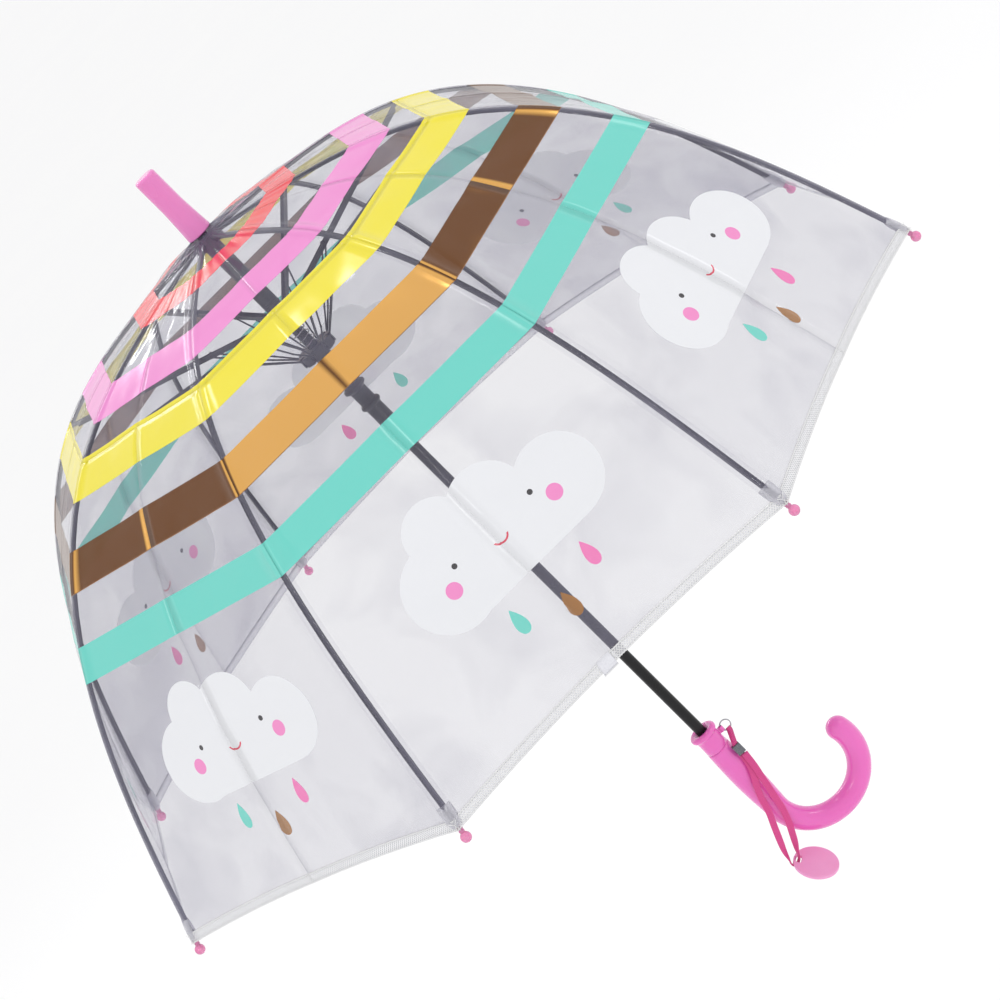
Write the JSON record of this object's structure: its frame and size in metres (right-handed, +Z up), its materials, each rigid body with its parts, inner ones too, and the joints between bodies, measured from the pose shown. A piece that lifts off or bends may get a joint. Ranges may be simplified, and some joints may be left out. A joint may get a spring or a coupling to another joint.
{
  "type": "children's umbrella",
  "caption": "Child's dome umbrella: clear film canopy with coloured bands and cloud prints, automatic folding rib frame on a slim shaft, and a crook handle with a wrist strap.",
  "frame": {"origin": "on the shaft's axis at the middle of the straight grip, where a hand holds the umbrella", "axes": "+Z up the shaft to the ferrule; +X towards the crook's open end; ribs stand at 22.5 degrees and every 45 degrees from +X"},
  "size_m": [0.6512, 0.6512, 0.6886],
  "materials": {
    "frame_black": "black lacquer over steel, satin",
    "shaft_black": "black stove enamel on steel tube, semi-gloss",
    "hub_black": "moulded black acetal, semi-gloss",
    "zinc_wire": "galvanised wire",
    "clip_metal": "dark nickel plate",
    "handle_pink": "moulded, polished, slightly translucent pink",
    "ferrule_pink": "moulded pink, polished",
    "tip_pink": "moulded translucent pink, polished",
    "strap_pink": "ribbed woven nylon webbing",
    "tag_pink": "moulded pale pink, satin",
    "film": "clear glossy film with printed bands and clouds",
    "hem_white": "white woven mesh tape"
  },
  "bodies": {
    "root": {"shaft": "shaft_black", "ferrule": "ferrule_pink", "crown_notch": "hub_black", "crown_wire": "zinc_wire", "stop_sleeve": "hub_black", "handle_collar": "handle_pink", "handle": "handle_pink", "strap_ring": "clip_metal", "strap_clip": "clip_metal", "wrist_strap": "strap_pink", "tag_disc": "tag_pink", "canopy": "film", "hem_tape": "hem_white"},
    "release": {"latch_blade": "zinc_wire", "release_button": "handle_pink"},
    "rib_upper_1": {"rib_upper_1": "frame_black"},
    "rib_upper_2": {"rib_upper_2": "frame_black"},
    "rib_upper_3": {"rib_upper_3": "frame_black"},
    "rib_upper_4": {"rib_upper_4": "frame_black"},
    "rib_upper_5": {"rib_upper_5": "frame_black"},
    "rib_upper_6": {"rib_upper_6": "frame_black"},
    "rib_upper_7": {"rib_upper_7": "frame_black"},
    "rib_upper_8": {"rib_upper_8": "frame_black"},
    "rib_lower_1": {"rib_lower_1": "frame_black", "tip_1": "tip_pink"},
    "rib_lower_2": {"rib_lower_2": "frame_black", "tip_2": "tip_pink"},
    "rib_lower_3": {"rib_lower_3": "frame_black", "tip_3": "tip_pink"},
    "rib_lower_4": {"rib_lower_4": "frame_black", "tip_4": "tip_pink"},
    "rib_lower_5": {"rib_lower_5": "frame_black", "tip_5": "tip_pink"},
    "rib_lower_6": {"rib_lower_6": "frame_black", "tip_6": "tip_pink"},
    "rib_lower_7": {"rib_lower_7": "frame_black", "tip_7": "tip_pink"},
    "rib_lower_8": {"rib_lower_8": "frame_black", "tip_8": "tip_pink"},
    "stretcher_1": {"stretcher_1": "frame_black"},
    "stretcher_2": {"stretcher_2": "frame_black"},
    "stretcher_3": {"stretcher_3": "frame_black"},
    "stretcher_4": {"stretcher_4": "frame_black"},
    "stretcher_5": {"stretcher_5": "frame_black"},
    "stretcher_6": {"stretcher_6": "frame_black"},
    "stretcher_7": {"stretcher_7": "frame_black"},
    "stretcher_8": {"stretcher_8": "frame_black"},
    "upper_hub": {"upper_hub": "hub_black", "hub_wire": "zinc_wire", "opening_spring": "zinc_wire"},
    "runner": {"runner": "hub_black", "runner_wire": "zinc_wire"},
    "spreader_wires_1": {"spreader_wires_1": "frame_black"},
    "spreader_wires_2": {"spreader_wires_2": "frame_black"},
    "spreader_wires_3": {"spreader_wires_3": "frame_black"},
    "spreader_wires_4": {"spreader_wires_4": "frame_black"},
    "spreader_wires_5": {"spreader_wires_5": "frame_black"},
    "spreader_wires_6": {"spreader_wires_6": "frame_black"},
    "spreader_wires_7": {"spreader_wires_7": "frame_black"},
    "spreader_wires_8": {"spreader_wires_8": "frame_black"}
  },
  "joints": [
    {"name": "fold", "type": "hinge", "parent": "root", "child": "rib_upper_1", "pos_m": [0.00831, 0.00344, 0.538], "axis": [-0.3827, 0.9239, 0], "range_deg": [0, 72.85], "stiffness_Nm_per_rad": 0.4, "springref_deg": -45.84, "deforming": ["canopy", "hem_tape"]},
    {"name": "rib_2_fold", "type": "hinge", "parent": "root", "child": "rib_upper_2", "pos_m": [0.00344, 0.00831, 0.538], "axis": [-0.9239, 0.3827, 0], "range_deg": [0, 72.88]},
    {"name": "rib_3_fold", "type": "hinge", "parent": "root", "child": "rib_upper_3", "pos_m": [-0.00344, 0.00831, 0.538], "axis": [-0.9239, -0.3827, 0], "range_deg": [0, 72.88]},
    {"name": "rib_4_fold", "type": "hinge", "parent": "root", "child": "rib_upper_4", "pos_m": [-0.00831, 0.00344, 0.538], "axis": [-0.3827, -0.9239, 0], "range_deg": [0, 72.88]},
    {"name": "rib_5_fold", "type": "hinge", "parent": "root", "child": "rib_upper_5", "pos_m": [-0.00831, -0.00344, 0.538], "axis": [0.3827, -0.9239, 0], "range_deg": [0, 72.88]},
    {"name": "rib_6_fold", "type": "hinge", "parent": "root", "child": "rib_upper_6", "pos_m": [-0.00344, -0.00831, 0.538], "axis": [0.9239, -0.3827, 0], "range_deg": [0, 72.88]},
    {"name": "rib_7_fold", "type": "hinge", "parent": "root", "child": "rib_upper_7", "pos_m": [0.00344, -0.00831, 0.538], "axis": [0.9239, 0.3827, 0], "range_deg": [0, 72.88]},
    {"name": "rib_8_fold", "type": "hinge", "parent": "root", "child": "rib_upper_8", "pos_m": [0.00831, -0.00344, 0.538], "axis": [0.3827, 0.9239, 0], "range_deg": [0, 72.88]},
    {"name": "rib_1_elbow", "type": "hinge", "parent": "rib_upper_1", "child": "rib_lower_1", "pos_m": [0.15356, 0.06361, 0.5027], "axis": [-0.3827, 0.9239, 0], "range_deg": [-38.11, 0]},
    {"name": "rib_2_elbow", "type": "hinge", "parent": "rib_upper_2", "child": "rib_lower_2", "pos_m": [0.06361, 0.15356, 0.5027], "axis": [-0.9239, 0.3827, 0], "range_deg": [-38.11, 0]},
    {"name": "rib_3_elbow", "type": "hinge", "parent": "rib_upper_3", "child": "rib_lower_3", "pos_m": [-0.06361, 0.15356, 0.5027], "axis": [-0.9239, -0.3827, 0], "range_deg": [-38.11, 0]},
    {"name": "rib_4_elbow", "type": "hinge", "parent": "rib_upper_4", "child": "rib_lower_4", "pos_m": [-0.15356, 0.06361, 0.5027], "axis": [-0.3827, -0.9239, 0], "range_deg": [-38.11, 0]},
    {"name": "rib_5_elbow", "type": "hinge", "parent": "rib_upper_5", "child": "rib_lower_5", "pos_m": [-0.15356, -0.06361, 0.5027], "axis": [0.3827, -0.9239, 0], "range_deg": [-38.11, 0]},
    {"name": "rib_6_elbow", "type": "hinge", "parent": "rib_upper_6", "child": "rib_lower_6", "pos_m": [-0.06361, -0.15356, 0.5027], "axis": [0.9239, -0.3827, 0], "range_deg": [-38.11, 0]},
    {"name": "rib_7_elbow", "type": "hinge", "parent": "rib_upper_7", "child": "rib_lower_7", "pos_m": [0.06361, -0.15356, 0.5027], "axis": [0.9239, 0.3827, 0], "range_deg": [-38.11, 0]},
    {"name": "rib_8_elbow", "type": "hinge", "parent": "rib_upper_8", "child": "rib_lower_8", "pos_m": [0.15356, -0.06361, 0.5027], "axis": [0.3827, 0.9239, 0], "range_deg": [-38.11, 0]},
    {"name": "stretcher_1_pivot", "type": "hinge", "parent": "rib_upper_1", "child": "stretcher_1", "pos_m": [0.15356, 0.06361, 0.5027], "axis": [-0.3827, 0.9239, 0], "range_deg": [-145.77, 0]},
    {"name": "stretcher_2_pivot", "type": "hinge", "parent": "rib_upper_2", "child": "stretcher_2", "pos_m": [0.06361, 0.15356, 0.5027], "axis": [-0.9239, 0.3827, 0], "range_deg": [-145.77, 0]},
    {"name": "stretcher_3_pivot", "type": "hinge", "parent": "rib_upper_3", "child": "stretcher_3", "pos_m": [-0.06361, 0.15356, 0.5027], "axis": [-0.9239, -0.3827, 0], "range_deg": [-145.77, 0]},
    {"name": "stretcher_4_pivot", "type": "hinge", "parent": "rib_upper_4", "child": "stretcher_4", "pos_m": [-0.15356, 0.06361, 0.5027], "axis": [-0.3827, -0.9239, 0], "range_deg": [-145.77, 0]},
    {"name": "stretcher_5_pivot", "type": "hinge", "parent": "rib_upper_5", "child": "stretcher_5", "pos_m": [-0.15356, -0.06361, 0.5027], "axis": [0.3827, -0.9239, 0], "range_deg": [-145.77, 0]},
    {"name": "stretcher_6_pivot", "type": "hinge", "parent": "rib_upper_6", "child": "stretcher_6", "pos_m": [-0.06361, -0.15356, 0.5027], "axis": [0.9239, -0.3827, 0], "range_deg": [-145.77, 0]},
    {"name": "stretcher_7_pivot", "type": "hinge", "parent": "rib_upper_7", "child": "stretcher_7", "pos_m": [0.06361, -0.15356, 0.5027], "axis": [0.9239, 0.3827, 0], "range_deg": [-145.77, 0]},
    {"name": "stretcher_8_pivot", "type": "hinge", "parent": "rib_upper_8", "child": "stretcher_8", "pos_m": [0.15356, -0.06361, 0.5027], "axis": [0.3827, 0.9239, 0], "range_deg": [-145.77, 0]},
    {"name": "upper_hub_level", "type": "hinge", "parent": "stretcher_1", "child": "upper_hub", "pos_m": [0.00831, 0.00344, 0.46741], "axis": [-0.3827, 0.9239, 0], "range_deg": [0, 72.88]},
    {"name": "runner_slide", "type": "slide", "parent": "upper_hub", "child": "runner", "axis": [0, 0, 1], "range_m": [0, 0.01908], "deforming": ["opening_spring"]},
    {"name": "wires_1_pivot", "type": "hinge", "parent": "runner", "child": "spreader_wires_1", "pos_m": [0.01109, 0.00459, 0.43541], "axis": [-0.3827, 0.9239, 0], "range_deg": [-46.01, 0]},
    {"name": "wires_2_pivot", "type": "hinge", "parent": "runner", "child": "spreader_wires_2", "pos_m": [0.00459, 0.01109, 0.43541], "axis": [-0.9239, 0.3827, 0], "range_deg": [-46.01, 0]},
    {"name": "wires_3_pivot", "type": "hinge", "parent": "runner", "child": "spreader_wires_3", "pos_m": [-0.00459, 0.01109, 0.43541], "axis": [-0.9239, -0.3827, 0], "range_deg": [-46.01, 0]},
    {"name": "wires_4_pivot", "type": "hinge", "parent": "runner", "child": "spreader_wires_4", "pos_m": [-0.01109, 0.00459, 0.43541], "axis": [-0.3827, -0.9239, 0], "range_deg": [-46.01, 0]},
    {"name": "wires_5_pivot", "type": "hinge", "parent": "runner", "child": "spreader_wires_5", "pos_m": [-0.01109, -0.00459, 0.43541], "axis": [0.3827, -0.9239, 0], "range_deg": [-46.01, 0]},
    {"name": "wires_6_pivot", "type": "hinge", "parent": "runner", "child": "spreader_wires_6", "pos_m": [-0.00459, -0.01109, 0.43541], "axis": [0.9239, -0.3827, 0], "range_deg": [-46.01, 0]},
    {"name": "wires_7_pivot", "type": "hinge", "parent": "runner", "child": "spreader_wires_7", "pos_m": [0.00459, -0.01109, 0.43541], "axis": [0.9239, 0.3827, 0], "range_deg": [-46.01, 0]},
    {"name": "wires_8_pivot", "type": "hinge", "parent": "runner", "child": "spreader_wires_8", "pos_m": [0.01109, -0.00459, 0.43541], "axis": [0.3827, 0.9239, 0], "range_deg": [-46.01, 0]},
    {"name": "release_push", "type": "slide", "parent": "root", "child": "release", "axis": [0, -1, 0], "range_m": [0, 0.002], "stiffness_N_per_m": 400}
  ],
  "couplings": [
    {"joint": "rib_2_fold", "follows": "fold", "ratio": 1},
    {"joint": "rib_3_fold", "follows": "fold", "ratio": 1},
    {"joint": "rib_4_fold", "follows": "fold", "ratio": 1},
    {"joint": "rib_5_fold", "follows": "fold", "ratio": 1},
    {"joint": "rib_6_fold", "follows": "fold", "ratio": 1},
    {"joint": "rib_7_fold", "follows": "fold", "ratio": 1},
    {"joint": "rib_8_fold", "follows": "fold", "ratio": 1},
    {"joint": "rib_1_elbow", "follows": "fold", "ratio": -0.52288},
    {"joint": "rib_2_elbow", "follows": "fold", "ratio": -0.52288},
    {"joint": "rib_3_elbow", "follows": "fold", "ratio": -0.52288},
    {"joint": "rib_4_elbow", "follows": "fold", "ratio": -0.52288},
    {"joint": "rib_5_elbow", "follows": "fold", "ratio": -0.52288},
    {"joint": "rib_6_elbow", "follows": "fold", "ratio": -0.52288},
    {"joint": "rib_7_elbow", "follows": "fold", "ratio": -0.52288},
    {"joint": "rib_8_elbow", "follows": "fold", "ratio": -0.52288},
    {"joint": "stretcher_1_pivot", "follows": "fold", "ratio": -2},
    {"joint": "stretcher_2_pivot", "follows": "fold", "ratio": -2},
    {"joint": "stretcher_3_pivot", "follows": "fold", "ratio": -2},
    {"joint": "stretcher_4_pivot", "follows": "fold", "ratio": -2},
    {"joint": "stretcher_5_pivot", "follows": "fold", "ratio": -2},
    {"joint": "stretcher_6_pivot", "follows": "fold", "ratio": -2},
    {"joint": "stretcher_7_pivot", "follows": "fold", "ratio": -2},
    {"joint": "stretcher_8_pivot", "follows": "fold", "ratio": -2},
    {"joint": "upper_hub_level", "follows": "fold", "ratio": 1},
    {"joint": "runner_slide", "follows": "fold", "m_per_rad": 0.015002},
    {"joint": "wires_1_pivot", "follows": "fold", "ratio": -0.63128},
    {"joint": "wires_2_pivot", "follows": "fold", "ratio": -0.63128},
    {"joint": "wires_3_pivot", "follows": "fold", "ratio": -0.63128},
    {"joint": "wires_4_pivot", "follows": "fold", "ratio": -0.63128},
    {"joint": "wires_5_pivot", "follows": "fold", "ratio": -0.63128},
    {"joint": "wires_6_pivot", "follows": "fold", "ratio": -0.63128},
    {"joint": "wires_7_pivot", "follows": "fold", "ratio": -0.63128},
    {"joint": "wires_8_pivot", "follows": "fold", "ratio": -0.63128}
  ]
}
